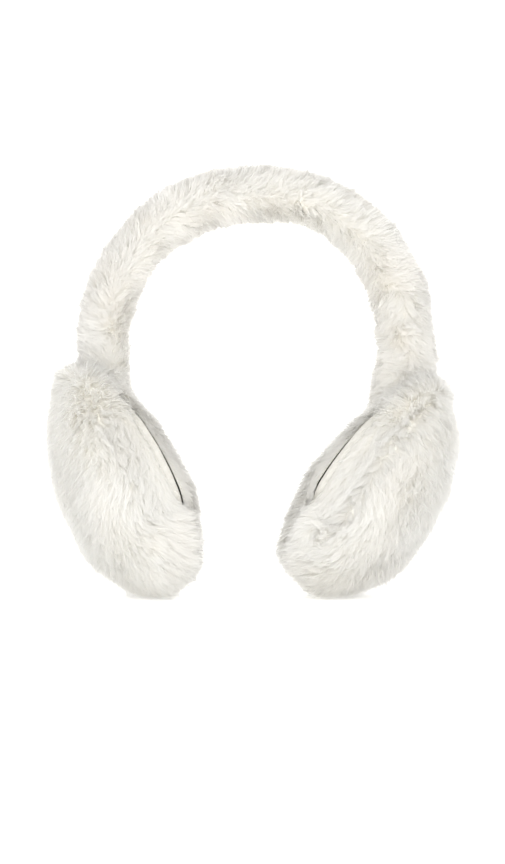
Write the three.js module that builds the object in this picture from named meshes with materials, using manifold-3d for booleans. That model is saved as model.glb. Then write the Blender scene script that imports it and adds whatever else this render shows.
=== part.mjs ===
// Fur earmuffs, in millimetres, standing upright on the floor with +Z up and +Y to the back.
// A sprung headband in a fur sleeve carries two round ear pads. Each pad is a domed outer cup and a
// shallower inner pad that meet at a slit, where the smooth hide edge of the cup shows as a binding.
// The leg of the headband goes down into the top of the pad, between cup and inner pad.
// Deep fur is modelled as rows of pointed locks fused to a smooth backing. The origin is on the floor,
// at the middle of the footprint's bounding box.

import * as THREE from "three";
import { mergeVertices } from "three/addons/utils/BufferGeometryUtils.js";
import Module from "manifold-3d";

const wasm = await Module();
wasm.setup();

// Headband: the backing under the fur, along a half circle with a straight leg at each end.
const archRadius = 73;
const legLength = 41;
const bandThickness = 24;
const bandDepth = 27;
const bandEndRounding = 5;
const bareEnd = 12; // the end of a leg that has no locks, inside the pad

// Ear pads: backings, measured in the pad's own plane and out from its seam.
const padLength = 120;
const padDepth = 106;
const cupHeight = 41;
const cupShoulder = 15; // where the cup is widest
const cupTaper = 0.55; // how much thinner the cup is at its top than at its bottom
const innerHeight = 9;
const innerShoulder = 3;
const domeFullness = 2.3; // exponent of the profile: 2 is an ellipse, more has fuller shoulders
const seamInset = 4; // how far the cup turns in from its widest to the seam
const seamBow = 2.5; // how far front and back of the seam stand towards the ear, beside its ends
const bareRim = 3; // the strip beside the seam that has no locks
const legOffset = 9; // how far the leg's end stands from the seam, to the cup's side

// The hide edge at the cup's rim, and the slit beside it.
const bindingHeight = 2.6;
const bindingWidth = 4;
const bindingProud = 0.8;
const slitWidth = 0.9;
const clearance = 0.35;

// Locks of fur.
const lockRise = 3;
const lockWidth = 12.5;
const lockLength = 11.5;
const lockSpread = 0.3; // share by which a lock's rise varies
const tipReach = 0.25; // share of its length by which a tip overhangs the next row
const parting = 0.4; // half the gap between the first rows at the top of the headband
const flattening = 4.5; // how much the fur gives where the pads rest on the floor

// How each pad hangs: the lean of its plane from upright and its turn towards the front, in degrees,
// and how deep the leg's end sits in it, as a share of the pad's length.
const pads = [
  { name: "left", side: -1, lean: 27.5, toe: 10, plunge: 0.285 },
  { name: "right", side: 1, lean: 37, toe: 10, plunge: 0.25 },
];

const furColour = 0xf0ece1;
const hideColour = 0xe4e2da;
const turn = 2 * Math.PI;
const seamSides = 48; // vertices round the seam

// A repeatable number from 0 to 1 for the lock at this place in its row.
function scatter(row, place) {
  const wave = Math.sin(row * 12.9898 + place * 78.233) * 43758.5453;
  return wave - Math.floor(wave);
}

// Joins two closed rings of vertices, which may differ in count, with a band of triangles.
function zipRings(faces, lower, upper) {
  const angleAt = (ring, i) => ring[i % ring.length].angle + (i < ring.length ? 0 : turn);
  const indexAt = (ring, i) => ring[i % ring.length].index;
  let i = 0;
  let j = 0;
  while (i < lower.length || j < upper.length) {
    const lowerIsNext =
      j === upper.length || (i < lower.length && angleAt(lower, i + 1) <= angleAt(upper, j + 1));
    if (lowerIsNext) {
      faces.push(indexAt(lower, i), indexAt(lower, i + 1), indexAt(upper, j));
      i += 1;
    } else {
      faces.push(indexAt(lower, i), indexAt(upper, j + 1), indexAt(upper, j));
      j += 1;
    }
  }
}

// A closed skin over a list of rings, each a list of { angle, point }, with a fan at each end.
function skinOver(rings, firstPole, lastPole) {
  const points = [firstPole];
  const faces = [];
  const placed = rings.map((ring) =>
    ring.map(({ angle, point }) => ({ angle, index: points.push(point) - 1 })),
  );
  const lastIndex = points.push(lastPole) - 1;
  const first = placed[0];
  const last = placed[placed.length - 1];
  first.forEach((v, i) => faces.push(0, first[(i + 1) % first.length].index, v.index));
  for (let k = 1; k < placed.length; k += 1) zipRings(faces, placed[k - 1], placed[k]);
  last.forEach((v, i) => faces.push(v.index, last[(i + 1) % last.length].index, lastIndex));
  const geometry = new THREE.BufferGeometry().setFromPoints(points);
  geometry.setIndex(faces);
  return geometry;
}

// A plain ring of a surface, which gives a point for a distance along it and an angle round it.
function plainRing(surface, along, count) {
  return Array.from({ length: count }, (_, i) => {
    const angle = (i / count) * turn;
    return { angle, point: surface(along, angle) };
  });
}

// The surface's outward normal, where distance times angle runs as it does on a skin.
function normalAt(surface, along, angle) {
  const step = 0.01;
  const across = surface(along, angle + step).sub(surface(along, angle - step));
  const forward = surface(along + step, angle).sub(surface(along - step, angle));
  return across.cross(forward).normalize();
}

// Three rings for one row of locks that starts at a distance along the surface and points forward
// (direction 1) or back (direction -1). Ridges and the valleys between them alternate round the row.
function lockRow(surface, start, { row, count, length, direction = 1, rise = lockRise }) {
  const stages = [
    { ridgeAt: 0, ridgeRise: 0.1, valleyAt: 0, valleyRise: 0 },
    { ridgeAt: 0.5, ridgeRise: 0.75, valleyAt: 0.5, valleyRise: 0.2 },
    { ridgeAt: 1 + tipReach, ridgeRise: 1, valleyAt: 0.92, valleyRise: 0.25 },
  ];
  const rings = stages.map((stage) =>
    Array.from({ length: 2 * count }, (_, i) => {
      const isRidge = i % 2 === 0;
      const angle = ((i / 2 + (row % 2) / 2) / count) * turn;
      const vary = 1 + lockSpread * (2 * scatter(row, Math.floor(i / 2)) - 1);
      const along = start + direction * length * (isRidge ? stage.ridgeAt : stage.valleyAt);
      const height = rise * (isRidge ? stage.ridgeRise * vary : stage.valleyRise);
      const normal = normalAt(surface, along, angle);
      return { angle, point: surface(along, angle).addScaledVector(normal, height) };
    }),
  );
  return direction > 0 ? rings : rings.reverse();
}

// A profile as { r, z } points, read by distance along it from its first point.
function profileReader(points) {
  const lengths = [0];
  for (let i = 1; i < points.length; i += 1) {
    const step = Math.hypot(points[i].r - points[i - 1].r, points[i].z - points[i - 1].z);
    lengths.push(lengths[i - 1] + step);
  }
  const total = lengths[lengths.length - 1];
  const read = (along) => {
    const wanted = Math.min(Math.max(along, 0), total);
    const next = Math.max(1, lengths.findIndex((l) => l >= wanted));
    const share = (wanted - lengths[next - 1]) / (lengths[next] - lengths[next - 1]);
    return {
      r: THREE.MathUtils.lerp(points[next - 1].r, points[next].r, share),
      z: THREE.MathUtils.lerp(points[next - 1].z, points[next].z, share),
    };
  };
  return { total, read };
}

// A dome's profile from its crown on the axis out to its widest, then in by an inset to the seam.
function domeProfile({ radius, height, shoulder, inset }) {
  const samples = 40;
  const dome = Array.from({ length: samples + 1 }, (_, i) => {
    const angle = ((i / samples) * Math.PI) / 2;
    return {
      r: radius * Math.sin(angle) ** (2 / domeFullness),
      z: shoulder + (height - shoulder) * Math.cos(angle) ** (2 / domeFullness),
    };
  });
  const turnSamples = 8;
  const turnedIn = Array.from({ length: turnSamples }, (_, i) => {
    const angle = (((i + 1) / turnSamples) * Math.PI) / 2;
    return {
      r: radius - inset * (1 - Math.cos(angle)),
      z: shoulder * (1 - Math.sin(angle)),
    };
  });
  return [...dome, ...turnedIn];
}

const padRadius = padLength / 2;
const seamRadius = padRadius - seamInset;
const plugRadius = seamRadius - bindingWidth - clearance;

// A point of a pad, oval in plan and bowed like its seam, from its place on a round one.
function padPoint(x, y, z) {
  const bow = (seamBow * (y * y - x * x)) / (padRadius * padRadius);
  const taper = z < 0 ? 1 - cupTaper * ((1 - x / padRadius) / 2) ** 3 : 1;
  return new THREE.Vector3(x, (y * padDepth) / padLength, z * taper + bow);
}

// A profile turned about the pad's axis, out from a level beside the seam. side -1 is the cup's.
function padSurface(profile, side, seamAt) {
  return (along, angle) => {
    const { r, z } = profile.read(along);
    const round = side < 0 ? angle : -angle;
    const point = padPoint(r * Math.cos(round), r * Math.sin(round), side * z);
    return point.add(new THREE.Vector3(0, 0, seamAt));
  };
}

// A flat ring at a radius, for the part of a pad that faces the seam.
const seamRing = (r, z) => ({ read: () => ({ r, z }) });

// The fur-covered half of a pad, with rows of locks from its crown to its seam and a plain back.
function furHalf({ outline, side, seamAt, back }) {
  const profile = profileReader(domeProfile(outline));
  const surface = padSurface(profile, side, seamAt);
  const furred = profile.total - bareRim;
  const rows = Math.round(furred / lockLength);
  const length = furred / (rows + tipReach);
  const rings = [];
  for (let row = 0; row < rows; row += 1) {
    const start = row === 0 ? 0.15 * length : row * length;
    const rimRadius = profile.read(start + 0.75 * length).r;
    const count = Math.max(5, Math.round((turn * rimRadius) / lockWidth));
    const fade = row === rows - 1 ? 0.6 : 1;
    const reach = row === 0 ? 0.85 * length : length;
    rings.push(...lockRow(surface, start, { row, count, length: reach, rise: lockRise * fade }));
  }
  for (const along of [furred, profile.total]) rings.push(plainRing(surface, along, seamSides));
  for (const { r, z } of back) {
    rings.push(plainRing(padSurface(seamRing(r, z), side, seamAt), 0, seamSides));
  }
  const depth = back[back.length - 1].z;
  return skinOver(rings, surface(0, 0), new THREE.Vector3(0, 0, side * depth + seamAt));
}

// The outer cup, whose plain back carries the binding and the inner pad.
function cupGeometry() {
  return furHalf({
    outline: { radius: padRadius, height: cupHeight, shoulder: cupShoulder, inset: seamInset },
    side: -1,
    seamAt: -bindingHeight - clearance,
    back: [{ r: plugRadius, z: 0 }],
  });
}

// The inner pad, with a plug that goes down inside the binding. The slit stays open round it.
function innerGeometry() {
  return furHalf({
    outline: { radius: seamRadius, height: innerHeight, shoulder: innerShoulder, inset: 0 },
    side: 1,
    seamAt: slitWidth,
    back: [
      { r: plugRadius, z: 0 },
      { r: plugRadius, z: -slitWidth - bindingHeight },
    ],
  });
}

// The binding: a flat ring of hide with a rounded outer edge, between cup and inner pad.
function bindingGeometry() {
  const outer = seamRadius + bindingProud;
  const inner = seamRadius - bindingWidth;
  const section = [
    { r: inner, z: -bindingHeight },
    { r: outer - 0.5 * bindingHeight, z: -bindingHeight },
    { r: outer, z: -0.5 * bindingHeight },
    { r: outer - 0.3 * bindingHeight, z: 0 },
    { r: inner, z: 0 },
  ];
  const points = [];
  const faces = [];
  for (let i = 0; i < seamSides; i += 1) {
    const angle = (i / seamSides) * turn;
    for (const { r, z } of section) points.push(padPoint(r * Math.cos(angle), r * Math.sin(angle), z));
  }
  const at = (i, k) => (i % seamSides) * section.length + (k % section.length);
  for (let i = 0; i < seamSides; i += 1) {
    for (let k = 0; k < section.length; k += 1) {
      faces.push(at(i, k), at(i + 1, k), at(i + 1, k + 1));
      faces.push(at(i, k), at(i + 1, k + 1), at(i, k + 1));
    }
  }
  const geometry = new THREE.BufferGeometry().setFromPoints(points);
  geometry.setIndex(faces);
  return geometry;
}

// Half the length of the headband's centreline, from the top of the arch to the end of a leg.
const quarterArch = (archRadius * Math.PI) / 2;
const halfBand = quarterArch + legLength;

// The centreline at a distance from the top of the arch, positive to the right, with its tangent.
function centreline(along) {
  const beyond = Math.abs(along) - quarterArch;
  const side = Math.sign(along);
  if (beyond > 0) {
    return {
      point: new THREE.Vector3(side * archRadius, 0, -beyond),
      outward: new THREE.Vector3(side, 0, 0),
    };
  }
  const angle = along / archRadius;
  const outward = new THREE.Vector3(Math.sin(angle), 0, Math.cos(angle));
  return { point: outward.clone().multiplyScalar(archRadius), outward };
}

// The headband's backing, grown by a margin for the sockets that take its legs.
function bandSurface(margin = 0) {
  return (along, angle) => {
    const { point, outward } = centreline(along);
    const toEnd = Math.min(Math.max(halfBand + margin - Math.abs(along), 0), bandEndRounding);
    const inset = bandEndRounding - Math.sqrt(toEnd * (2 * bandEndRounding - toEnd));
    const across = bandThickness / 2 + margin - inset;
    const deep = bandDepth / 2 + margin - inset;
    return point
      .addScaledVector(outward, across * Math.cos(angle))
      .sub(new THREE.Vector3(0, deep * Math.sin(angle), 0));
  };
}

// Distances from the top at which a leg's rounded end has its rings, from a margin's surface.
function endStations(margin) {
  const shares = [1, 0.55, 0.2, 0];
  return shares.map((share) => halfBand + margin - share * bandEndRounding);
}

function bandEnd(margin, side) {
  const { point } = centreline(side * (halfBand + margin));
  return point;
}

// The fur sleeve: rows of locks run from the top of the arch down both sides, into the pads.
function bandGeometry() {
  const surface = bandSurface();
  const count = Math.round((Math.PI * (bandThickness + bandDepth)) / 2 / lockWidth);
  const furred = halfBand - bareEnd - parting;
  const rows = Math.round(furred / lockLength);
  const length = furred / (rows + tipReach);
  const leg = (side) => {
    const rings = [];
    for (let row = 0; row < rows; row += 1) {
      const fade = row === rows - 1 ? 0.6 : 1;
      const place = side > 0 ? row : row + rows;
      const start = side * (parting + row * length);
      const locks = { row: place, count, length, direction: side, rise: lockRise * fade };
      const made = lockRow(surface, start, locks);
      if (side > 0) rings.push(...made);
      else rings.unshift(...made);
    }
    const stations = [halfBand - bareEnd, ...endStations(0)];
    const ends = stations.map((along) => plainRing(surface, side * along, 2 * count));
    return side > 0 ? [...rings, ...ends] : [...ends.reverse(), ...rings];
  };
  return skinOver([...leg(-1), ...leg(1)], bandEnd(0, -1), bandEnd(0, 1));
}

// What a leg takes out of the pad round it: wide round its locks, close round its bare end.
function socketGeometry(side) {
  const around = 24;
  const overLocks = bandSurface(lockRise * (1 + lockSpread) + clearance);
  const overEnd = bandSurface(clearance);
  const mouth = quarterArch - legLength;
  const step = halfBand - bareEnd + clearance;
  const wide = [0, 0.25, 0.5, 0.75, 1].map((share) => THREE.MathUtils.lerp(mouth, step, share));
  const rings = [
    ...wide.map((along) => plainRing(overLocks, side * along, around)),
    ...[step, ...endStations(clearance)].map((along) => plainRing(overEnd, side * along, around)),
  ];
  const near = centreline(side * mouth).point;
  const far = bandEnd(clearance, side);
  return side > 0 ? skinOver(rings, near, far) : skinOver(rings.reverse(), far, near);
}

function solidOf(geometry) {
  const bare = new THREE.BufferGeometry();
  bare.setAttribute("position", geometry.getAttribute("position"));
  if (geometry.index) bare.setIndex(geometry.index);
  const merged = mergeVertices(bare, 1e-4);
  return new wasm.Manifold(
    new wasm.Mesh({
      numProp: 3,
      vertProperties: new Float32Array(merged.attributes.position.array),
      triVerts: new Uint32Array(merged.index.array),
    }),
  );
}

function geometryOf(solid) {
  const { vertProperties, triVerts } = solid.getMesh();
  const geometry = new THREE.BufferGeometry();
  geometry.setAttribute("position", new THREE.BufferAttribute(new Float32Array(vertProperties), 3));
  geometry.setIndex(new THREE.BufferAttribute(new Uint32Array(triVerts), 1));
  const flat = geometry.toNonIndexed();
  flat.computeVertexNormals();
  return flat;
}

// The pad's own frame: x down its length, z out of the seam towards the ear.
function padPlacement({ side, lean, toe, plunge }) {
  const leans = THREE.MathUtils.degToRad(lean);
  const turns = THREE.MathUtils.degToRad(toe);
  const down = new THREE.Vector3(-side * Math.sin(leans), 0, -Math.cos(leans));
  const earward = new THREE.Vector3(
    -side * Math.cos(leans) * Math.cos(turns),
    Math.sin(turns),
    Math.sin(leans) * Math.cos(turns),
  );
  const across = new THREE.Vector3().crossVectors(earward, down);
  const placement = new THREE.Matrix4().makeBasis(down, across, earward);
  const legSeat = new THREE.Vector3(plunge * padLength - padRadius, 0, -legOffset).applyMatrix4(placement);
  return placement.setPosition(bandEnd(0, side).sub(legSeat));
}

const lowestOf = (geometry, placement) => {
  geometry.applyMatrix4(placement);
  geometry.computeBoundingBox();
  return geometry.boundingBox.min.z;
};

const placements = pads.map(padPlacement);
const floorHeight = flattening + Math.max(...placements.map((p) => lowestOf(cupGeometry(), p)));

const fur = new THREE.MeshStandardMaterial({ color: furColour, roughness: 0.95, metalness: 0 });
const hide = new THREE.MeshStandardMaterial({ color: hideColour, roughness: 0.7, metalness: 0 });

const named = (name, geometry, material) => {
  const mesh = new THREE.Mesh(geometry, material);
  mesh.name = name;
  return mesh;
};

// One pad: its three pieces, each cut by the leg's socket and by the floor.
function makePad({ name, side }, placement) {
  const group = new THREE.Group();
  placement.decompose(group.position, group.quaternion, group.scale);
  const toPad = placement.clone().invert();
  const slabSize = 4 * padLength;
  const slab = new THREE.BoxGeometry(slabSize, slabSize, slabSize);
  slab.translate(0, 0, floorHeight - slabSize / 2);
  const cutters = [socketGeometry(side), slab].map((g) => solidOf(g.applyMatrix4(toPad)));
  const cut = (geometry) => geometryOf(cutters.reduce((s, c) => s.subtract(c), solidOf(geometry)));
  group.add(named(`${name}_outer_cup`, cut(cupGeometry()), fur));
  group.add(named(`${name}_rim_binding`, cut(bindingGeometry()), hide));
  group.add(named(`${name}_inner_pad`, cut(innerGeometry()), fur));
  return group;
}

const earmuffs = new THREE.Group();
earmuffs.add(named("headband", geometryOf(solidOf(bandGeometry())), fur));
pads.forEach((pad, i) => earmuffs.add(makePad(pad, placements[i])));

// Stand the whole on the floor, centred over the origin.
const bounds = new THREE.Box3().setFromObject(earmuffs, true);
const centre = bounds.getCenter(new THREE.Vector3());
earmuffs.children.forEach((child) =>
  child.position.sub(new THREE.Vector3(centre.x, centre.y, bounds.min.z)),
);

export default earmuffs;
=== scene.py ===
import math

import bpy
import numpy as np
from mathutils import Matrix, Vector
from mathutils.kdtree import KDTree


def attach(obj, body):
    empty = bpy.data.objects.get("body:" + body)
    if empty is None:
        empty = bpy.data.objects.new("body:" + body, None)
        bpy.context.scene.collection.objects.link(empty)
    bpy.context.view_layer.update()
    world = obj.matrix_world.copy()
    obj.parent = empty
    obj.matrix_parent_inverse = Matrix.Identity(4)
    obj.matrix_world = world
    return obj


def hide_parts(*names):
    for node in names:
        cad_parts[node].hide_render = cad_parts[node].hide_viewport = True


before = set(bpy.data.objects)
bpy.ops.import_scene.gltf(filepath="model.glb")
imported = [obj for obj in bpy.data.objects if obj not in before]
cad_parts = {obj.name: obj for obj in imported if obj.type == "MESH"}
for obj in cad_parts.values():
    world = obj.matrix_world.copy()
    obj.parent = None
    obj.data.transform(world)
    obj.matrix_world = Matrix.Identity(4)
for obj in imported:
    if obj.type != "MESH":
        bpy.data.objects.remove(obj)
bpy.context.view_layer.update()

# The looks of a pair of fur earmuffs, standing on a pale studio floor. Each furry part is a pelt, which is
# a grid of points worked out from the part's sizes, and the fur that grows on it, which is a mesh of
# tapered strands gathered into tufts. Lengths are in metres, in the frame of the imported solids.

MM = 0.001

# Headband.
ARCH_CENTRE = np.array([0.69, 0.69, 122.1]) * MM
ARCH_RADIUS = 73 * MM
LEG_LENGTH = 41 * MM
BAND_THICKNESS = 24 * MM
BAND_DEPTH = 27 * MM
BAND_END_ROUNDING = 5 * MM

# Ear pads, in each pad's own frame: x down its length, z out of its seam towards the ear.
PAD_LENGTH = 120 * MM
PAD_DEPTH = 106 * MM
CUP_HEIGHT = 41 * MM
CUP_SHOULDER = 15 * MM
CUP_TAPER = 0.55
INNER_HEIGHT = 9 * MM
INNER_SHOULDER = 3 * MM
INNER_CORE = 0.3
PAD_CORE = 0.7
DOME_FULLNESS = 2.3
SEAM_INSET = 4 * MM
SEAM_BOW = 2.5 * MM
SEAM_SWELL = 1.8 * MM
SEAM_RADIUS = PAD_LENGTH / 2 - SEAM_INSET
BINDING_HEIGHT = 2.6 * MM
BINDING_WIDTH = 4 * MM
RIM_PROUD = 0.9 * MM
RIM_SUNK = 3.5 * MM
RIM_WAVE = 0.2 * MM
RIM_WAVE_SIZE = 9 * MM
SLIT_WIDTH = 0.6 * MM
CLEARANCE = 0.35 * MM
SLIT_ENDS = (0.3, 0.52)
SLIT_SHIFT = 0.03

# Where each pad sits and how it leans, and how its fur departs from a plain dome. side is -1 on the left.
# crease is how deep the row of tufts beside the slit is. fullness builds the cup up, sloping takes from its
# top, slimmer_top and slimmer_foot take from the inner pad and rounder_foot from both, all in mm.
# painted_back_shade is how much painted shade darkens the cup's back, and curl is the place of a curled lock,
# in mm in the pad's frame.
PADS = {
    "left": {
        "side": -1, "centre": (-52.54, 2.25, 62.30), "lean": 27.5, "toe": 10,
        "crease": 0.5, "fullness": 2.4, "sloping": 0.0, "slimmer_top": 1.8, "slimmer_foot": 3.6,
        "rounder_foot": 3.0, "painted_back_shade": 0.8, "curl": None,
    },
    "right": {
        "side": 1, "centre": (48.55, 2.25, 62.47), "lean": 37, "toe": 10,
        "crease": 1.8, "fullness": 3.6, "sloping": 2.8, "slimmer_top": 2.8, "slimmer_foot": 0.5,
        "rounder_foot": 1.0, "painted_back_shade": 2.2, "curl": (34, 42, -9),
    },
}
CUP_FOOT_TRIM = 4.5 * MM
INNER_TOP_TRIM = 1.5 * MM
INNER_END_TRIM = 2.2 * MM
INNER_CROWN_RISE = 0.8 * MM

# Skin under the fur.
PELT_INSET = 3.4 * MM
LUMP_HEIGHT = 1.2 * MM
LUMP_SIZE = 17 * MM
FLOOR_SKIN = 1.8 * MM
FLOOR_ROUNDING = 4 * MM

# The crease beside the slit, by its place from the crown to the seam, and the curled lock.
CREASE_ROW = 0.79
CREASE_WIDTH = 0.06
CREASE_DEPTH = 2.4 * MM
CURL_SIZE = 8 * MM
CURL_RING = 4.8 * MM
CURL_RING_WIDTH = 3 * MM
CURL_RISE = 1.8 * MM
CURL_HOLLOW = 2.8 * MM

# Strands.
GUARD_WIDTH = 0.21 * MM
DOWN_WIDTH = 0.48 * MM
DOWN_SHARE = 0.78
WISP_SHARE = 0.2
WISP_EXTRA = 0.85
FLOOR_SOFTNESS = 1 * MM
NORMAL_SHARE = 0.5

# The strands' map: bands of rows, each with its strands side by side.
MAP_BANDS = 24
MAP_MARGIN = 0.003
BAND_MARGIN = 0.08
STRAND_MAP_WIDTH = 1 / 1024

# Fur on each part. Tufts come in sizes, coarse to fine, each as spacing, pull, spread and tone. The other
# sizes are those of the noise that ruffles the fur and sways it.
CUP_FUR_LENGTH = 8.6 * MM
CUP_FUR_LIFT = 0.58
INNER_FUR_LENGTH = 9.6 * MM
INNER_FUR_LIFT = 0.62
PAD_TUFTS = [(6.5 * MM, 0.4, 0.5, 0.25), (2.3 * MM, 0.8, 0.35, 0.3)]
PAD_RUFFLE_SIZE = 14 * MM
PAD_SWAY_SIZE = 18 * MM
PAD_FLOW = {"away": 0.9, "outwards": 0.25, "sway": 0.6, "parting": 0.8, "curl": 5}
BAND_FUR_LENGTH = 7.8 * MM
BAND_FUR_LIFT = 0.7
BAND_GUARDS = 26000
BAND_DOWNS = 70000
BAND_TUFTS = [(6 * MM, 0.45, 0.9, 0.2), (2.3 * MM, 0.75, 0.4, 0.25)]
BAND_RUFFLE_SIZE = 12 * MM
BAND_SWAY_SIZE = 14 * MM
BAND_FLOW = {"round": 0.45, "lengthways": 0.4, "sway": 0.75}

# How the band departs from an even tube. Each pair of heights is where a change begins and ends, and
# RIGHT_SIDE is where its right half begins, by x.
SHOULDER_RISE = 1.8 * MM
SHOULDER_ANGLE = math.radians(38)
SHOULDER_WIDTH = math.radians(32)
RIGHT_FULLNESS = 2.2 * MM
RIGHT_HEIGHTS = (155 * MM, 180 * MM)
FOOT_FULLNESS = 1 * MM
RIGHT_FOOT_FULLNESS = 2.5 * MM
FOOT_HEIGHTS = (98 * MM, 120 * MM)
TOP_FULLNESS = 1 * MM
TOP_HEIGHTS = (165 * MM, 185 * MM)
LEFT_SLIMNESS = 0.8 * MM
LEFT_HEIGHTS = (150 * MM, 170 * MM)
# Between these heights the painted shade on the outside of the left leg fades out.
LEFT_SHADE_HEIGHTS = (150 * MM, 180 * MM)
RIGHT_SIDE = (30 * MM, 50 * MM)

# Materials.
FUR_TRANSLUCENCY = 0.6
# The colour of the painted shade on the inner pads' skin beside the open slit.
GAP_SHADE = (0.50, 0.49, 0.43, 1)

# Studio.
FLOOR_GLOW = 0.38
SKY_BRIGHTNESS = 1.0
FRONT_POWER = 38
WALL_POWER = 14
CAMERA_PLACE = (-0.001, -1.153, 0.0797)
CAMERA_LENS = 100
SENSOR_WIDTH = 36

rng = np.random.default_rng(7)


# Vectors, curves and noise


def unit(vectors):
    """Vectors of the same directions and length 1."""
    lengths = np.linalg.norm(vectors, axis=-1, keepdims=True)
    return vectors / np.maximum(lengths, 1e-12)


def across(vectors, normals):
    """The part of each vector that is square to its normal, as a unit vector."""
    return unit(vectors - normals * np.sum(vectors * normals, axis=-1, keepdims=True))


def noise(points, size, seed):
    """Smooth noise from -1 to 1 with features of about this size."""
    cell = points / size
    low = np.floor(cell).astype(np.int64)
    share = cell - low
    share = share**3 * (share * (6 * share - 15) + 10)
    total = np.zeros(points.shape[:-1])
    for corner in np.ndindex(2, 2, 2):
        at = low + np.array(corner)
        code = at[..., 0] * 73856093 ^ at[..., 1] * 19349663 ^ at[..., 2] * 83492791 ^ seed * 961748927
        code = (code ^ (code >> 13)) * 1274126177
        value = ((code ^ (code >> 16)) & 0xFFFF) / 32767.5 - 1
        weight = np.prod(np.where(corner, share, 1 - share), axis=-1)
        total += weight * value
    return total


def bump(values, centre, width):
    """1 at the centre, falling smoothly to 0 about a width away."""
    return np.exp(-(((values - centre) / width) ** 2) * 2)


def step(values, low, high):
    """0 below low and 1 above high, smooth between."""
    share = np.clip((values - low) / (high - low), 0, 1)
    return share * share * (3 - 2 * share)


def sway(points, size, seed):
    """Directions that wander smoothly from place to place."""
    return np.stack([noise(points, size, seed=seed + k) for k in range(3)], axis=-1)


# Pelts: grids of points, rows along and columns round


class Pelt:
    """A skin that fur grows on. points is rows by columns by 3, and the columns close into a ring."""

    def __init__(self, points, outward_turn):
        self.points = points
        round_ = np.roll(points, -1, axis=1) - np.roll(points, 1, axis=1)
        along = np.gradient(points, axis=0)
        self.normals = unit(np.cross(round_, along) * outward_turn)
        for end in (0, -1):
            if np.ptp(points[end], axis=0).max() < 1e-9:
                beside = 1 if end == 0 else -2
                self.normals[end] = unit(self.normals[beside].mean(axis=0))

    def raise_by(self, heights):
        self.points = self.points + self.normals * heights[..., None]

    def keep_above(self, height, softness):
        """Presses the skin flat on a level, and rounds it where it leaves it."""
        over = (self.points[..., 2] - height) / softness
        self.points[..., 2] = height + softness * np.logaddexp(0, over)

    def build(self, name):
        """A mesh object of the pelt, with a map that follows rows and columns."""
        rows, columns = self.points.shape[:2]
        quads = []
        maps = []
        for row in range(rows - 1):
            for column in range(columns):
                beside = (column + 1) % columns
                quads.append((
                    row * columns + column,
                    row * columns + beside,
                    (row + 1) * columns + beside,
                    (row + 1) * columns + column,
                ))
                low, high = column / columns, (column + 1) / columns
                bottom, top = row / (rows - 1), (row + 1) / (rows - 1)
                maps += [(low, bottom), (high, bottom), (high, top), (low, top)]
        mesh = bpy.data.meshes.new(name)
        mesh.from_pydata(self.points.reshape(-1, 3).tolist(), [], quads)
        layer = mesh.uv_layers.new(name="OFBake")
        layer.data.foreach_set("uv", np.array(maps, dtype=np.float32).ravel())
        return add_object(name, mesh)

    def scatter(self, count, weight=None):
        """Random places over the pelt, even by area times weight.

        Returns a function that reads any grid at those places, and their shares along and round.
        """
        rows, columns = self.points.shape[:2]
        beside = np.roll(self.points, -1, axis=1)
        corner, right = self.points[:-1], beside[:-1]
        above, far = self.points[1:], beside[1:]
        area = np.linalg.norm(np.cross(right - corner, above - corner), axis=-1)
        area += np.linalg.norm(np.cross(far - right, far - above), axis=-1)
        if weight is not None:
            area = area * (weight[:-1] + weight[1:]) / 2
        chance = area.ravel() / area.sum()
        cells = rng.choice(chance.size, size=count, p=chance)
        row, column = np.divmod(cells, columns)
        up, over = rng.random(count), rng.random(count)

        def read(grid):
            grid = grid.reshape(rows, columns, -1)
            next_column = (column + 1) % columns
            low = grid[row, column] * (1 - over)[:, None] + grid[row, next_column] * over[:, None]
            high = grid[row + 1, column] * (1 - over)[:, None]
            high = high + grid[row + 1, next_column] * over[:, None]
            return low * (1 - up)[:, None] + high * up[:, None]

        return read, (row + up) / (rows - 1), (column + over) / columns


def add_object(name, mesh):
    piece = bpy.data.objects.new(name, mesh)
    bpy.context.scene.collection.objects.link(piece)
    mesh.shade_smooth()
    return piece


def pad_frame(side, centre, lean, toe, **_):
    """Takes points and directions from a pad's own frame to the part's frame."""
    lean, toe = math.radians(lean), math.radians(toe)
    down = np.array([-side * math.sin(lean), 0, -math.cos(lean)])
    earward = np.array([
        -side * math.cos(lean) * math.cos(toe),
        math.sin(toe),
        math.sin(lean) * math.cos(toe),
    ])
    turn = np.stack([down, np.cross(earward, down), earward])
    return turn, np.array(centre) * MM


def pad_points(radius, height, angle):
    """Points of a pad, oval in plan and bowed like its seam, from radius, height and angle grids."""
    x = radius * np.cos(angle)
    y = radius * np.sin(angle)
    half = PAD_LENGTH / 2
    taper = np.where(height < 0, 1 - CUP_TAPER * ((1 - x / half) / 2) ** 3, 1)
    bow = (SEAM_BOW * (y * y - x * x) + SEAM_SWELL * y * y) / half**2
    return np.stack([x, y * PAD_DEPTH / PAD_LENGTH, height * taper + bow], axis=-1)


def dome_profile(radius, height, shoulder, inset, count):
    """Radius and height along a dome from its crown to its widest, then in to the seam."""
    turn = np.linspace(0, math.pi / 2, 200)
    dome_radius = radius * np.sin(turn) ** (2 / DOME_FULLNESS)
    dome_height = shoulder + (height - shoulder) * np.cos(turn) ** (2 / DOME_FULLNESS)
    rim_radius = radius - inset * (1 - np.cos(turn[1:]))
    rim_height = shoulder * (1 - np.sin(turn[1:]))
    radii = np.concatenate([dome_radius, rim_radius])
    heights = np.concatenate([dome_height, rim_height])
    lengths = np.concatenate([[0], np.cumsum(np.hypot(np.diff(radii), np.diff(heights)))])
    wanted = np.linspace(0, lengths[-1], count)
    return np.interp(wanted, lengths, radii), np.interp(wanted, lengths, heights)


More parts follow.
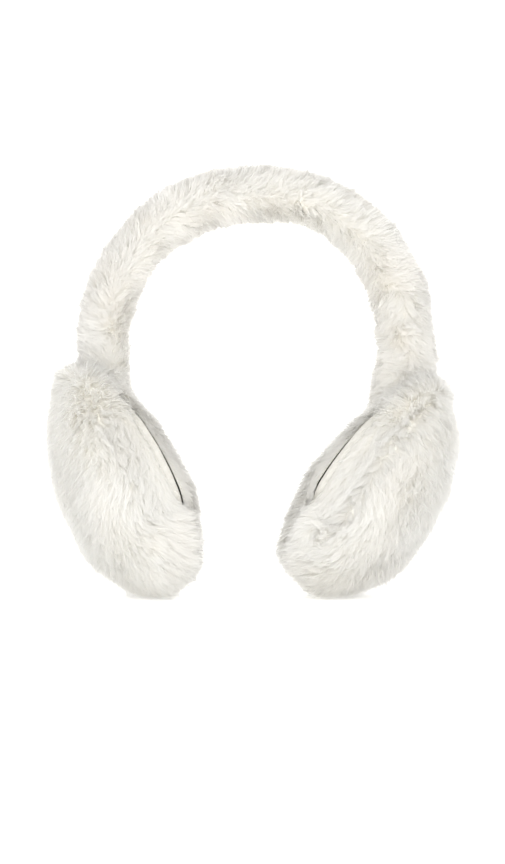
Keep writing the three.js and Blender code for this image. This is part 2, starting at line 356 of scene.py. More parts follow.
def pad_pelt(side, radius, height, shoulder, inset, seam_at, rows=44, columns=120):
    """The pelt of a cup (side -1) or an inner pad (side 1), in the pad's own frame."""
    radii, heights = dome_profile(radius, height, shoulder, inset, rows)
    angle = np.linspace(0, 2 * math.pi, columns, endpoint=False)
    points = pad_points(radii[:, None], side * heights[:, None], angle[None, :])
    points[..., 2] += seam_at
    return points


def band_rows(count):
    """Distances along the headband's centreline from the top, and its points and outward directions."""
    quarter = ARCH_RADIUS * math.pi / 2
    half = quarter + LEG_LENGTH
    along = np.linspace(-half, half, count)
    angle = np.clip(along, -quarter, quarter) / ARCH_RADIUS
    outward = np.stack([np.sin(angle), 0 * angle, np.cos(angle)], axis=-1)
    beyond = np.maximum(np.abs(along) - quarter, 0)
    points = ARCH_CENTRE + outward * ARCH_RADIUS
    points[:, 2] -= beyond
    return along, points, outward


def band_pelt(rows=200, columns=48):
    """The pelt of an even sleeve along the headband, and the angles round it, from 0 at its outside."""
    along, centres, outward = band_rows(rows)
    half = along[-1]
    to_end = np.clip(half - np.abs(along), 0, BAND_END_ROUNDING)
    inset = BAND_END_ROUNDING - np.sqrt(to_end * (2 * BAND_END_ROUNDING - to_end))
    angle = np.linspace(0, 2 * math.pi, columns, endpoint=False)
    thick = (BAND_THICKNESS / 2 - inset)[:, None] * np.cos(angle)
    deep = (BAND_DEPTH / 2 - inset)[:, None] * np.sin(angle)
    points = centres[:, None] + outward[:, None] * thick[..., None]
    points[..., 1] -= deep
    return Pelt(points, outward_turn=1), angle


# Fur: tapered strands, gathered into tufts


def leg_share(points):
    """How far points are from the headband's centreline, where 1 is on the sleeve, by leg and arch."""
    offset = points - ARCH_CENTRE
    on_arch = np.hypot(offset[..., 0], offset[..., 2]) - ARCH_RADIUS
    on_leg = np.abs(offset[..., 0]) - ARCH_RADIUS
    thick = np.where(offset[..., 2] > 0, on_arch, on_leg)
    share = np.hypot(thick / (BAND_THICKNESS / 2), offset[..., 1] / (BAND_DEPTH / 2))
    return np.where(offset[..., 2] < -LEG_LENGTH, 9, share)


def inside_pads(points):
    """True for points in the core of either pad, where the band's hairs would be hidden."""
    inside = np.zeros(points.shape[:-1], dtype=bool)
    for pad in PADS.values():
        turn, centre = pad_frame(**pad)
        x, y, z = np.moveaxis((points - centre) @ turn.T, -1, 0)
        radius = np.hypot(x, y * PAD_LENGTH / PAD_DEPTH) / (PAD_LENGTH / 2)
        depth = np.where(z < -CUP_SHOULDER, (-z - CUP_SHOULDER) / (CUP_HEIGHT - CUP_SHOULDER), 0)
        depth = np.where(z > 0, z / (INNER_CORE * INNER_HEIGHT), depth)
        inside |= radius**DOME_FULLNESS + depth**DOME_FULLNESS < PAD_CORE
    return inside


def arcs(roots, normals, flow, length, lift, steps):
    """Points along strands that rise from the skin and bend over in the direction of their flow."""
    s = steps[None, :, None]
    rise = normals[:, None] * (lift[:, None, None] * (1 - (1 - s) ** 2))
    lean = flow[:, None] * (s**1.25 * np.sqrt(np.maximum(1 - lift[:, None, None] ** 2, 0.05)))
    return roots[:, None] + (rise + lean) * length[:, None, None]


def grow_fur(name, pelt, flow, guards, downs, length, lift, pull, tone, weight, keep):
    """A mesh of the strands on a pelt: long guard hairs in tufts, and short straight down between them.

    flow is a grid of directions; length, lift, pull, tone and weight are grids of numbers, where pull
    is how firmly the hairs gather into tufts and weight is how thickly they grow. keep picks strands by
    their roots and points.
    """
    layers = []
    for kind in ("guard", "down"):
        count = guards if kind == "guard" else downs
        bends = 2 if kind == "guard" else 1
        read, row_share, column_share = pelt.scatter(count, weight)
        roots = read(pelt.points)
        normals = unit(read(pelt.normals))
        strand_length = read(length)[:, 0] * rng.uniform(0.7, 1.15, count)
        strand_lift = np.clip(read(lift)[:, 0] * rng.uniform(0.7, 1.3, count), 0.05, 0.97)
        if kind == "down":
            strand_length *= DOWN_SHARE
            strand_lift = np.clip(strand_lift * 1.15, 0.05, 0.97)
        else:
            strand_length *= 1 + WISP_EXTRA * (rng.random(count) < WISP_SHARE)
        own_flow = across(read(flow) + rng.normal(0, 0.25, (count, 3)), normals)
        steps = np.linspace(0, 1, bends + 1) ** 0.9
        strands = arcs(roots, normals, own_flow, strand_length, strand_lift, steps)
        strand_tone = read(tone)[:, 0] + rng.normal(0, 0.35, count)
        hold = np.clip(read(pull)[:, 0] * rng.uniform(0.75, 1.1, count), 0, 0.95)
        for seeds in pelt.tufts:
            mine = seeds["near"](roots)
            spines = arcs(
                seeds["roots"], seeds["normals"], seeds["flow"], seeds["length"], seeds["lift"], steps
            )[mine]
            base = seeds["roots"][mine][:, None]
            share = (steps**1.2)[None, :, None]
            gathered = spines + (roots[:, None] - base) * (1 - share)
            grip = seeds["pull"] * hold[:, None, None] * share
            strands = strands * (1 - grip) + gathered * grip
            strand_tone += seeds["tone"][mine]
        low = (0.2 + 0.4 * rng.random(count))[:, None] * MM
        over_floor = (strands[..., 2] - low) / FLOOR_SOFTNESS
        strands[..., 2] = low + FLOOR_SOFTNESS * np.logaddexp(0, over_floor)
        kept = keep(roots, strands)
        layers.append(strand_layer(
            normals[kept], strands[kept], steps, GUARD_WIDTH if kind == "guard" else DOWN_WIDTH,
            strand_tone[kept], row_share[kept], column_share[kept],
        ))
    return fur_mesh(name, layers)


def seed_tufts(pelt, flow, length, lift, sizes):
    """Places where tufts gather, coarse to fine. Each size is (spacing, pull, spread, tone)."""
    area = np.linalg.norm(np.cross(
        np.roll(pelt.points, -1, axis=1)[:-1] - pelt.points[:-1], pelt.points[1:] - pelt.points[:-1]
    ), axis=-1).sum()
    pelt.tufts = []
    for spacing, pull, spread, tone in sizes:
        count = int(area / spacing**2)
        read, _, _ = pelt.scatter(count)
        roots = read(pelt.points)
        normals = unit(read(pelt.normals))
        turned = read(flow) + rng.normal(0, spread, (count, 3))
        tree = KDTree(count)
        for index, root in enumerate(roots):
            tree.insert(root, index)
        tree.balance()
        pelt.tufts.append({
            "roots": roots,
            "normals": normals,
            "flow": across(turned, normals),
            "length": read(length)[:, 0] * rng.uniform(0.8, 1.15, count),
            "lift": np.clip(read(lift)[:, 0] * rng.uniform(0.6, 1.45, count), 0.05, 0.97),
            "pull": pull,
            "tone": rng.normal(0, tone, count),
            "near": lambda points, tree=tree: np.array([tree.find(point)[1] for point in points]),
        })


def strand_layer(normals, strands, steps, width, tone, row_share, column_share):
    """Ribbons along the strands that lie flat on the fur, taper to a point and keep their place in the map.

    They are shaded in part as the pelt under them is, which makes the fur look soft.
    """
    count, stations = strands.shape[:2]
    tangent = unit(np.gradient(strands, axis=1))
    flat = unit(np.cross(tangent, normals[:, None] + rng.normal(0, 0.3, (count, 1, 3))))
    widths = width * rng.uniform(0.7, 1.3, (count, 1)) * (1 - 0.5 * steps[None, :]) / 2
    edges = flat * widths[..., None]
    facing = unit(np.cross(flat, tangent))
    shaded = unit(facing * (1 - NORMAL_SHARE) + normals[:, None] * NORMAL_SHARE)
    shaded = np.concatenate([np.repeat(shaded[:, :-1], 2, axis=1), shaded[:, -1:]], axis=1)
    pairs = np.stack([strands - edges, strands + edges], axis=2)[:, :-1]
    points = np.concatenate([pairs.reshape(count, -1, 3), strands[:, -1:]], axis=1)
    tip = 2 * (stations - 1)
    corners = []
    for station in range(stations - 2):
        corners += [2 * station, 2 * station + 1, 2 * station + 3, 2 * station + 2]
    corners += [tip - 2, tip - 1, tip]
    station_share = np.append(np.repeat(steps[:-1], 2), 1.0)

    band = np.floor(np.clip(row_share, 0, 0.9999) * MAP_BANDS)
    edge_side = np.append(np.tile([-1.0, 1.0], stations - 1), 0.0)
    in_margin = MAP_MARGIN + (1 - 2 * MAP_MARGIN) * column_share[:, None]
    u = np.clip(in_margin + edge_side[None, :] * STRAND_MAP_WIDTH, 0, 1)
    v = (band[:, None] + BAND_MARGIN + (1 - 2 * BAND_MARGIN) * station_share[None, :]) / MAP_BANDS
    return {
        "points": points.reshape(-1, 3),
        "shaded": shaded.reshape(-1, 3),
        "loops": (np.arange(count)[:, None] * (tip + 1) + np.array(corners)).ravel(),
        "sizes": np.tile([4] * (stations - 2) + [3], count),
        "along": np.tile(station_share, count),
        "tone": np.repeat(tone, tip + 1),
        "map": np.stack([u, v], axis=-1)[:, corners].reshape(-1, 2),
    }


def fur_mesh(name, layers):
    """One mesh object of layers of strands."""
    before = np.cumsum([0] + [len(layer["points"]) for layer in layers[:-1]])
    loops = np.concatenate([layer["loops"] + shift for layer, shift in zip(layers, before)])
    sizes = np.concatenate([layer["sizes"] for layer in layers])
    points = np.concatenate([layer["points"] for layer in layers])
    mesh = bpy.data.meshes.new(name)
    mesh.vertices.add(len(points))
    mesh.vertices.foreach_set("co", points.astype(np.float32).ravel())
    mesh.loops.add(len(loops))
    mesh.loops.foreach_set("vertex_index", loops.astype(np.int32))
    mesh.polygons.add(len(sizes))
    starts = np.concatenate([[0], np.cumsum(sizes)[:-1]])
    mesh.polygons.foreach_set("loop_start", starts.astype(np.int32))
    for key in ("along", "tone"):
        values = np.concatenate([layer[key] for layer in layers]).astype(np.float32)
        mesh.attributes.new(key, "FLOAT", "POINT").data.foreach_set("value", values)
    places = np.concatenate([layer["map"] for layer in layers]).astype(np.float32)
    mesh.uv_layers.new(name="OFBake").data.foreach_set("uv", places.ravel())
    mesh.update(calc_edges=True)
    piece = add_object(name, mesh)
    shaded = np.concatenate([layer["shaded"] for layer in layers])
    mesh.normals_split_custom_set_from_vertices(shaded.tolist())
    return piece


# Materials


def new_material(name):
    material = bpy.data.materials.new(name)
    material.use_nodes = True
    nodes = material.node_tree.nodes
    return material, nodes, material.node_tree.links, nodes["Principled BSDF"]


def fur_material(name, root, middle, tip, patch, patch_share=0.35, darkest=0.955):
    """Fur a little darker at roots and tips, with tufts of their own tone and patches of another colour."""
    material, nodes, links, shader = new_material(name)
    shader.inputs["Specular IOR Level"].default_value = 0.25
    shader.inputs["Sheen Weight"].default_value = 0.15
    shader.inputs["Sheen Roughness"].default_value = 0.6

    along = nodes.new("ShaderNodeAttribute")
    along.attribute_name = "along"
    ramp = nodes.new("ShaderNodeValToRGB")
    ramp.color_ramp.elements[0].color = (*root, 1)
    ramp.color_ramp.elements[1].color = (*tip, 1)
    element = ramp.color_ramp.elements.new(0.4)
    element.color = (*middle, 1)
    links.new(along.outputs["Fac"], ramp.inputs["Fac"])

    place = nodes.new("ShaderNodeTexCoord")
    blotch = nodes.new("ShaderNodeTexNoise")
    blotch.inputs["Scale"].default_value = 45
    blotch.inputs["Detail"].default_value = 3
    links.new(place.outputs["Object"], blotch.inputs["Vector"])
    share = nodes.new("ShaderNodeMapRange")
    share.inputs["From Min"].default_value = 0.45
    share.inputs["From Max"].default_value = 0.75
    share.inputs["To Max"].default_value = patch_share
    links.new(blotch.outputs["Fac"], share.inputs["Value"])
    patched = nodes.new("ShaderNodeMix")
    patched.data_type = "RGBA"
    patched.inputs["B"].default_value = (*patch, 1)
    links.new(share.outputs["Result"], patched.inputs["Factor"])
    links.new(ramp.outputs["Color"], patched.inputs["A"])

    # The tone attribute holds each strand's own random tone and, on the cups, inner pads and band, painted
    # light and shade.
    tone = nodes.new("ShaderNodeAttribute")
    tone.attribute_name = "tone"
    light = nodes.new("ShaderNodeMapRange")
    light.inputs["From Min"].default_value = -2
    light.inputs["From Max"].default_value = 2
    light.inputs["To Min"].default_value = darkest
    light.inputs["To Max"].default_value = 1.015
    links.new(tone.outputs["Fac"], light.inputs["Value"])
    toned = nodes.new("ShaderNodeVectorMath")
    toned.operation = "SCALE"
    links.new(patched.outputs["Result"], toned.inputs["Vector"])
    links.new(light.outputs["Result"], toned.inputs["Scale"])
    links.new(toned.outputs["Vector"], shader.inputs["Base Color"])

    rough = nodes.new("ShaderNodeMapRange")
    rough.inputs["To Min"].default_value = 0.7
    rough.inputs["To Max"].default_value = 0.92
    links.new(blotch.outputs["Fac"], rough.inputs["Value"])
    links.new(rough.outputs["Result"], shader.inputs["Roughness"])

    through = nodes.new("ShaderNodeBsdfTranslucent")
    links.new(toned.outputs["Vector"], through.inputs["Color"])
    both = nodes.new("ShaderNodeMixShader")
    both.inputs["Fac"].default_value = FUR_TRANSLUCENCY
    links.new(shader.outputs["BSDF"], both.inputs[1])
    links.new(through.outputs["BSDF"], both.inputs[2])
    links.new(both.outputs["Shader"], nodes["Material Output"].inputs["Surface"])
    return material


def skin_material(name, dark, light, scale, relief, roughness):
    """Hide or the skin under fur: two tones of one colour, a fine grain, uneven gloss and painted shade in
    gaps.
    """
    material, nodes, links, shader = new_material(name)
    place = nodes.new("ShaderNodeTexCoord")
    grain = nodes.new("ShaderNodeTexNoise")
    grain.inputs["Scale"].default_value = scale
    grain.inputs["Detail"].default_value = 5
    links.new(place.outputs["Object"], grain.inputs["Vector"])
    ramp = nodes.new("ShaderNodeValToRGB")
    ramp.color_ramp.elements[0].position = 0.3
    ramp.color_ramp.elements[0].color = (*dark, 1)
    ramp.color_ramp.elements[1].position = 0.7
    ramp.color_ramp.elements[1].color = (*light, 1)
    links.new(grain.outputs["Fac"], ramp.inputs["Fac"])
    shade = nodes.new("ShaderNodeAttribute")
    shade.attribute_name = "shade"
    shaded = nodes.new("ShaderNodeMix")
    shaded.data_type = "RGBA"
    shaded.inputs["B"].default_value = GAP_SHADE
    links.new(shade.outputs["Fac"], shaded.inputs["Factor"])
    links.new(ramp.outputs["Color"], shaded.inputs["A"])
    links.new(shaded.outputs["Result"], shader.inputs["Base Color"])
    raised = nodes.new("ShaderNodeBump")
    raised.inputs["Strength"].default_value = relief
    raised.inputs["Distance"].default_value = 0.3 * MM
    links.new(grain.outputs["Fac"], raised.inputs["Height"])
    links.new(raised.outputs["Normal"], shader.inputs["Normal"])
    rough = nodes.new("ShaderNodeMapRange")
    rough.inputs["To Min"].default_value = roughness - 0.1
    rough.inputs["To Max"].default_value = roughness + 0.1
    links.new(grain.outputs["Fac"], rough.inputs["Value"])
    links.new(rough.outputs["Result"], shader.inputs["Roughness"])
    return material


cup_fur = fur_material("cup_fur", (0.94, 0.93, 0.90), (0.965, 0.958, 0.935), (0.905, 0.902, 0.888),
                       (0.955, 0.94, 0.91))
band_fur = fur_material("band_fur", (0.937, 0.927, 0.897), (0.96, 0.951, 0.926), (0.907, 0.901, 0.884),
                        (0.952, 0.93, 0.895), 0.45)
# inner_fur's tone reaches down to 0.86, for the painted shade beside the open slit.
inner_fur = fur_material("inner_fur", (0.94, 0.927, 0.89), (0.962, 0.952, 0.925), (0.91, 0.903, 0.88),
                         (0.945, 0.927, 0.89), darkest=0.86)
pelt_skin = skin_material("pelt_skin", (0.74, 0.725, 0.68), (0.80, 0.79, 0.75), 300, 0.4, 0.8)
hide = skin_material("hide", (0.45, 0.435, 0.395), (0.53, 0.515, 0.475), 500, 0.25, 0.7)


def finish_piece(piece, material, slot, *nodes):
    """Gives a piece its material, hangs it on the root body and hides its solids. slot is not used."""
    piece.data.materials.append(material)
    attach(piece, "root")
    if nodes:
        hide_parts(*nodes)


# Ear pads


PAD_PARTS = {
    "outer_cup": {"side": -1, "guards": 34000, "downs": 86000, "fur": cup_fur, "slot": "cup_fur"},
    "inner_pad": {"side": 1, "guards": 17000, "downs": 46000, "fur": inner_fur, "slot": "inner_fur"},
}


def plain_half(side):
    """The skin of a plain cup (side -1) or inner pad (side 1), in the pad's own frame."""
    if side < 0:
        seam_at = -BINDING_HEIGHT - CLEARANCE
        return pad_pelt(side, PAD_LENGTH / 2, CUP_HEIGHT, CUP_SHOULDER, SEAM_INSET, seam_at)
    return pad_pelt(side, SEAM_RADIUS, INNER_HEIGHT, INNER_SHOULDER, 0, SLIT_WIDTH)


def slit_closed(share):
    """0 where the slit is open and 1 where fur closes it, by a share of the way to the pad's end."""
    return step(share, *SLIT_ENDS)


def ways_from_curl(pad, points):
    """Ways to points from a pad's curled lock, or from nowhere near where it has none."""
    if pad["curl"] is None:
        return np.ones_like(points)
    turn, centre = pad_frame(**pad)
    return points - (np.array(pad["curl"]) * MM @ turn + centre)


class Zones:
    """Grids that say where each point of a half's skin is.

    row runs from 0 at the crown to 1 at the seam, and down from -1 at the pad's top to 1 at its foot.
    from_curl and curl_distance are lengths, and the others are 1 at what they name and 0 away from it.
    crease is as much more or less as the pad's own crease is.
    """

    def __init__(self, pad, side, local, points):
        rows, columns = points.shape[:2]
        self.row = np.linspace(0, 1, rows)[:, None] + np.zeros((1, columns))
        self.down = local[..., 0] / (PAD_LENGTH / 2)
        self.at_top = slit_closed(-self.down - SLIT_SHIFT)
        self.at_bottom = slit_closed(self.down + SLIT_SHIFT)
        self.at_end = self.at_top + self.at_bottom
        self.open_seam = 1 - self.at_end
        self.near_seam = step(self.row, 0.86, 1.0)
        self.ruffle = 0.5 + 0.5 * noise(points, PAD_RUFFLE_SIZE, seed=31)
        self.crease = bump(self.row, CREASE_ROW, CREASE_WIDTH) * pad["crease"]
        self.crease *= (0.4 + 0.6 * self.ruffle) * (side < 0)
        self.crease *= step(self.down, -0.9, -0.6) * (1 - step(self.down, 0.35, 0.6))
        self.from_curl = ways_from_curl(pad, points)
        self.curl_distance = np.linalg.norm(self.from_curl, axis=-1)
        self.curl = bump(self.curl_distance, 0, CURL_SIZE)


def skin_depth(pad, side, zones):
    """How far the skin of a half lies in from its solid: the fur's thickness, and what shapes the half."""
    row, down = zones.row, zones.down
    thinner = 0.75 * zones.open_seam + 0.7 * zones.at_end * (side < 0)
    depth = PELT_INSET * (1 - zones.near_seam * thinner)
    depth += CREASE_DEPTH * zones.crease
    depth += CURL_HOLLOW * bump(zones.curl_distance, 0, 0.6 * CURL_RING)
    depth -= CURL_RISE * bump(zones.curl_distance, CURL_RING, CURL_RING_WIDTH)
    if side < 0:
        shoulder = step(row, 0.25, 0.5) * (1 - step(row, 0.8, 0.92))
        depth += pad["sloping"] * MM * step(-down, 0.6, 0.95) * shoulder
        depth -= pad["fullness"] * MM * (1 - step(row, 0.6, 0.85)) * (1 - step(-down, 0.65, 0.95))
        depth += CUP_FOOT_TRIM * step(down, 0.3, 0.75) * (1 - step(row, 0.55, 0.8))
    else:
        depth += INNER_END_TRIM * zones.near_seam * zones.at_end
        depth -= INNER_CROWN_RISE * (1 - step(row, 0.4, 0.8))
        depth += pad["slimmer_top"] * MM * (1 - step(down, -0.3, 0.3)) + INNER_TOP_TRIM * zones.at_top
        depth += pad["slimmer_foot"] * MM * step(down, 0.25, 0.65)
    return depth + pad["rounder_foot"] * MM * step(down, 0.7, 0.95) * step(row, 0.8, 0.95)


def pad_flow(pad, side, pelt, local, zones):
    """Directions of the fur: away from the band's foot, over the seam's closed ends and round the curl."""
    turn, _ = pad_frame(**pad)
    outwards = unit((local * np.array([1, 1, 0])) @ turn)
    source = np.array([-0.8 * PAD_LENGTH, 0, 2 * SEAM_BOW])
    away = unit(((local - source) * np.array([1, 0.4, 1])) @ turn)
    to_seam = np.broadcast_to(-side * turn[2], pelt.points.shape)
    over_seam = zones.at_bottom * (0.7 + 1.1 * zones.near_seam)
    over_seam += zones.near_seam * (0.5 * zones.at_top - 0.3 * side * zones.open_seam)
    parted = PAD_FLOW["parting"] * zones.crease * np.sign(zones.row - CREASE_ROW)
    flow = PAD_FLOW["away"] * away + PAD_FLOW["outwards"] * outwards
    flow += PAD_FLOW["sway"] * sway(pelt.points, PAD_SWAY_SIZE, seed=11)
    flow += (over_seam + parted)[..., None] * to_seam
    flow += PAD_FLOW["curl"] * unit(np.cross(pelt.normals, zones.from_curl)) * zones.curl[..., None]
    return across(flow, pelt.normals)


def cup_coat(pelt, zones, painted_back_shade):
    """Length, lift, pull and tone of a cup's fur, tufted along the crease, with painted shade as its tone."""
    row, seam, ends, gap = zones.row, zones.near_seam, zones.at_end, zones.open_seam
    tufty = bump(row, CREASE_ROW, 0.14)
    pull = 0.2 + 0.3 * zones.ruffle + 0.3 * tufty + 0.3 * zones.crease + 0.4 * zones.curl
    length = CUP_FUR_LENGTH * (1 + 0.12 * tufty + seam * (0.25 * ends - 0.35 * gap))
    lift = CUP_FUR_LIFT + 0.06 * tufty + seam * (0.08 * ends - 0.3 * gap)
    # Painted shade: darker where the band's leg meets the cup, in the crease, in the curl's hollow, beside
    # the open slit and over the cup's back.
    tone = -3.2 * bump(leg_share(pelt.points), 0.97, 0.24)
    tone -= 3.4 * zones.crease + 4 * bump(zones.curl, 1, 0.3)
    tone -= 1.6 * step(row, 0.78, 0.93) * gap + painted_back_shade * (1 - step(row, 0.3, 0.6))
    return length, lift, np.minimum(pull, 0.9), tone


def inner_coat(zones):
    """Length, lift, pull and tone of an inner pad's fur, which is short beside the open slit and painted
    darker there as shade.
    """
    row, seam, gap = zones.row, zones.near_seam, zones.open_seam
    pull = (0.35 + 0.45 * zones.ruffle) * (1 - 0.6 * step(row, 0.5, 0.8) * gap)
    length = INNER_FUR_LENGTH * (1 - 0.5 * seam * gap)
    lift = INNER_FUR_LIFT - 0.2 * seam * gap
    # Painted shade beside the open slit, where the cup's rim shades the recessed pad.
    tone = -2 * step(row, 0.74, 0.95) * gap
    return length, lift, pull, tone


def clear_of_leg(roots, strands):
    """Keeps the strands that stay out of the headband's legs."""
    return (leg_share(roots) > 0.8) & (leg_share(strands).min(axis=1) > 0.75)


def make_half(pad_name, pad, part, side, guards, downs, fur, slot):
    """One half of an ear pad: its pelt, and the fur on it."""
    turn, centre = pad_frame(**pad)
    local = plain_half(side)
    pelt = Pelt(local @ turn + centre, outward_turn=-side * 1.0)
    zones = Zones(pad, side, local, pelt.points)
    lumps = LUMP_HEIGHT * noise(pelt.points, LUMP_SIZE, seed=3) * (1 - zones.near_seam)
    pelt.raise_by(lumps - skin_depth(pad, side, zones))
    pelt.keep_above(FLOOR_SKIN, FLOOR_ROUNDING)

    flow = pad_flow(pad, side, pelt, local, zones)
    if side < 0:
        length, lift, pull, tone = cup_coat(pelt, zones, pad["painted_back_shade"])
    else:
        length, lift, pull, tone = inner_coat(zones)
    seed_tufts(pelt, flow, length, lift, PAD_TUFTS)

    skin = pelt.build(f"{pad_name}_{part}_pelt")
    # Painted shade on the inner pad's skin beside the open slit, which the skin material reads as shade.
    shade = skin.data.attributes.new("shade", "FLOAT", "POINT")
    shade.data.foreach_set("value", (zones.near_seam * zones.open_seam * (side > 0)).ravel())
    finish_piece(skin, pelt_skin, slot, f"{pad_name}_{part}")
    coat = grow_fur(
        f"{pad_name}_{part}_fur", pelt, flow, guards, downs, length, lift, pull, tone,
        np.ones_like(zones.row), clear_of_leg,
    )
    finish_piece(coat, fur, slot)


def make_rim(name, pad, sides=160):
    """The smooth edge of the cup's hide, which rolls in at the slit and sinks into the fur at both ends."""
    turn, centre = pad_frame(**pad)
    proud = SEAM_RADIUS + RIM_PROUD
    section = [
        (SEAM_RADIUS - BINDING_WIDTH, -BINDING_HEIGHT),
        (SEAM_RADIUS - 0.5 * MM, -2.2 * BINDING_HEIGHT),
        (proud, -1.5 * BINDING_HEIGHT),
        (proud, -0.8 * BINDING_HEIGHT),
        (SEAM_RADIUS + 0.6 * MM, -0.35 * BINDING_HEIGHT),
        (SEAM_RADIUS + 0.1 * MM, -0.1 * BINDING_HEIGHT),
        (SEAM_RADIUS - 1.0 * MM, 0),
        (SEAM_RADIUS - BINDING_WIDTH, 0),
    ]
    angle = np.linspace(0, 2 * math.pi, sides, endpoint=False)[:, None]
    sunk = RIM_SUNK * slit_closed(np.abs(np.cos(angle) + SLIT_SHIFT))
    radii = np.array([r for r, _ in section])[None, :] - sunk
    heights = np.array([z for _, z in section])[None, :] + 0 * radii
    points = pad_points(radii, heights, angle) @ turn + centre
    points += RIM_WAVE * noise(points, RIM_WAVE_SIZE, seed=5)[..., None]
    points[..., 2] = np.maximum(points[..., 2], FLOOR_SKIN)
    around = len(section)
    faces = []
    for i in range(sides):
        for k in range(around):
            faces.append((
                i * around + k,
                (i + 1) % sides * around + k,
                (i + 1) % sides * around + (k + 1) % around,
                i * around + (k + 1) % around,
            ))
    mesh = bpy.data.meshes.new(f"{name}_rim_hide")
    mesh.from_pydata(points.reshape(-1, 3).tolist(), [], faces)
    piece = add_object(f"{name}_rim_hide", mesh)
    finish_piece(piece, hide, "hide_edge", f"{name}_rim_binding")


for pad_name, pad in PADS.items():
    for part, plan in PAD_PARTS.items():
        make_half(pad_name, pad, part, **plan)
    make_rim(pad_name, pad)


# Headband


def inside_fullness(points, on_right):
    """How much fuller the inside of the band is than an even tube, by height and by leg."""
    height = points[..., 2]
    fuller = RIGHT_FULLNESS * on_right * (1 - step(height, *RIGHT_HEIGHTS))
    fuller += (FOOT_FULLNESS + RIGHT_FOOT_FULLNESS * on_right) * (1 - step(height, *FOOT_HEIGHTS))
    fuller += TOP_FULLNESS * step(height, *TOP_HEIGHTS)
    return fuller - LEFT_SLIMNESS * (1 - on_right) * (1 - step(height, *LEFT_HEIGHTS))


def band_flow(pelt, angle):
    """Directions of the band's fur: lengthways, and from its front and back to its outside."""
    round_ = np.roll(pelt.points, -1, axis=1) - np.roll(pelt.points, 1, axis=1)
    to_outside = -np.sin(angle) * step(np.cos(angle), -0.7, 0.2)
    flow = BAND_FLOW["round"] * unit(round_) * to_outside[None, :, None]
    flow += BAND_FLOW["lengthways"] * unit(np.gradient(pelt.points, axis=0))
    flow += BAND_FLOW["sway"] * sway(pelt.points, BAND_SWAY_SIZE, seed=21)
    return across(flow, pelt.normals)


def clear_of_pads(roots, strands):
    """Keeps the strands that grow outside the pads."""
    return ~inside_pads(roots)


def make_headband():
    """The band's pelt, and its fur in a left and a right half."""
    pelt, angle = band_pelt()
    along, _, outward = band_rows(len(pelt.points))
    shoulder = SHOULDER_RISE * bump(along / ARCH_RADIUS, SHOULDER_ANGLE, SHOULDER_WIDTH)
    pelt.points = pelt.points + (outward * shoulder[:, None])[:, None]
    inside = step(-np.cos(angle), 0, 0.8)
    on_right = step(pelt.points[..., 0], *RIGHT_SIDE)
    painted_left_leg_shade = (1 - on_right) * (1 - step(pelt.points[..., 2], *LEFT_SHADE_HEIGHTS))
    # The band's tone is painted light and shade: lighter on its inside, under the arch where shade falls, and
    # darker on the outside of the lower left leg.
    tone = 2 * inside - 1.5 * painted_left_leg_shade * (1 - inside)
    fuller = inside * inside_fullness(pelt.points, on_right)
    pelt.raise_by(0.8 * LUMP_HEIGHT * noise(pelt.points, LUMP_SIZE, seed=4) - PELT_INSET + fuller)
    skin = pelt.build("headband_pelt")
    finish_piece(skin, pelt_skin, "band_fur", "headband")

    rows, columns = pelt.points.shape[:2]
    flow = band_flow(pelt, angle)
    length = np.full((rows, columns), BAND_FUR_LENGTH)
    lift = np.full((rows, columns), BAND_FUR_LIFT)
    pull = 0.25 + 0.45 * (0.5 + 0.5 * noise(pelt.points, BAND_RUFFLE_SIZE, seed=33))
    seed_tufts(pelt, flow, length, lift, BAND_TUFTS)
    halves = {"left": np.arange(rows) <= rows // 2, "right": np.arange(rows) >= rows // 2}
    for half, in_half in halves.items():
        weight = np.repeat(in_half.astype(float)[:, None], columns, axis=1)
        coat = grow_fur(
            f"headband_fur_{half}", pelt, flow, BAND_GUARDS, BAND_DOWNS, length, lift, pull, tone,
            weight, clear_of_pads,
        )
        finish_piece(coat, band_fur, "band_fur")


make_headband()


# Studio


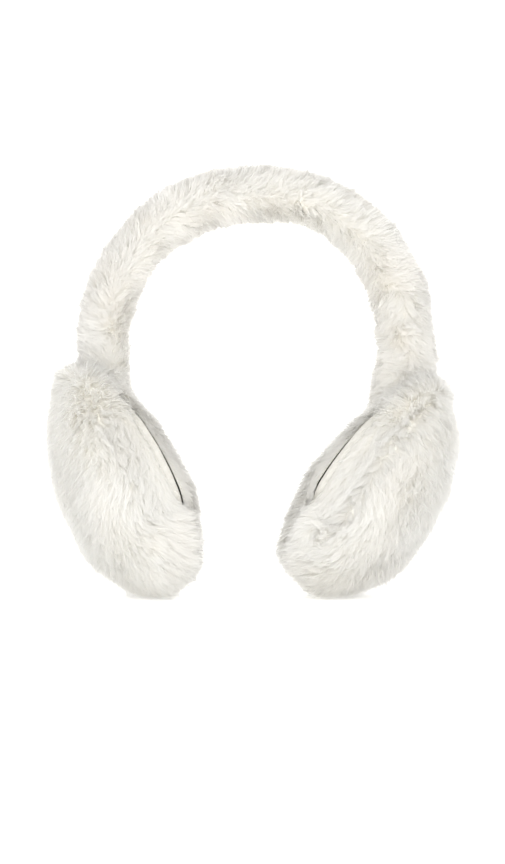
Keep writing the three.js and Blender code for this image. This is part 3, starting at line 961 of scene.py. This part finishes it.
def make_cyclorama():
    """A pale floor that turns up into a wall and glows a little."""
    reach, bend_at, bend, bend_parts = 4.0, 1.2, 0.6, 16
    profile = [(-reach, 0.0), (bend_at, 0.0)]
    for part in range(1, bend_parts + 1):
        turn = part / bend_parts * math.pi / 2
        profile.append((bend_at + bend * math.sin(turn), bend * (1 - math.cos(turn))))
    profile.append((bend_at + bend, reach))
    points = [(x, y, z) for y, z in profile for x in (-reach, reach)]
    faces = [(2 * i, 2 * i + 1, 2 * i + 3, 2 * i + 2) for i in range(len(profile) - 1)]
    mesh = bpy.data.meshes.new("cyclorama")
    mesh.from_pydata(points, [], faces)
    piece = add_object("cyclorama", mesh)
    paint, _, _, shader = new_material("studio_white")
    shader.inputs["Base Color"].default_value = (0.95, 0.95, 0.945, 1)
    shader.inputs["Roughness"].default_value = 0.9
    shader.inputs["Specular IOR Level"].default_value = 0.1
    shader.inputs["Emission Color"].default_value = (1, 1, 1, 1)
    shader.inputs["Emission Strength"].default_value = FLOOR_GLOW
    mesh.materials.append(paint)


def add_area_light(name, place, target, size, power):
    light = bpy.data.lights.new(name, "AREA")
    light.shape = "DISK"
    light.size = size
    light.energy = power
    lamp = bpy.data.objects.new(name, light)
    bpy.context.scene.collection.objects.link(lamp)
    lamp.location = place
    aim = Vector(target) - Vector(place)
    lamp.rotation_euler = aim.to_track_quat("-Z", "Y").to_euler()


def add_camera():
    """A level camera with a long lens, at the photograph's angle and framing."""
    camera = bpy.data.cameras.new("camera")
    camera.lens = CAMERA_LENS
    camera.sensor_width = SENSOR_WIDTH
    camera.clip_start = 0.05
    camera.clip_end = 20
    eye = bpy.data.objects.new("camera", camera)
    bpy.context.scene.collection.objects.link(eye)
    eye.location = CAMERA_PLACE
    eye.rotation_euler = (math.pi / 2, 0, 0)
    bpy.context.scene.camera = eye


def make_sky():
    """A white world, which lights the fur evenly from all sides."""
    world = bpy.data.worlds.new("studio")
    world.use_nodes = True
    background = world.node_tree.nodes["Background"]
    background.inputs["Color"].default_value = (1, 1, 1, 1)
    background.inputs["Strength"].default_value = SKY_BRIGHTNESS
    bpy.context.scene.world = world


make_cyclorama()
make_sky()
add_area_light("front", place=(0.0, -2.2, 0.3), target=(0, 0, 0.1), size=1.2, power=FRONT_POWER)
add_area_light("wall", place=(0.0, 0.6, 1.4), target=(0, 1.8, 0.3), size=1.2, power=WALL_POWER)
add_camera()
bpy.context.scene.view_settings.view_transform = "Standard"

# Light goes on a long way between white hairs.
light_paths = bpy.context.scene.cycles
light_paths.max_bounces = 24
light_paths.diffuse_bounces = 12
light_paths.transmission_bounces = 16
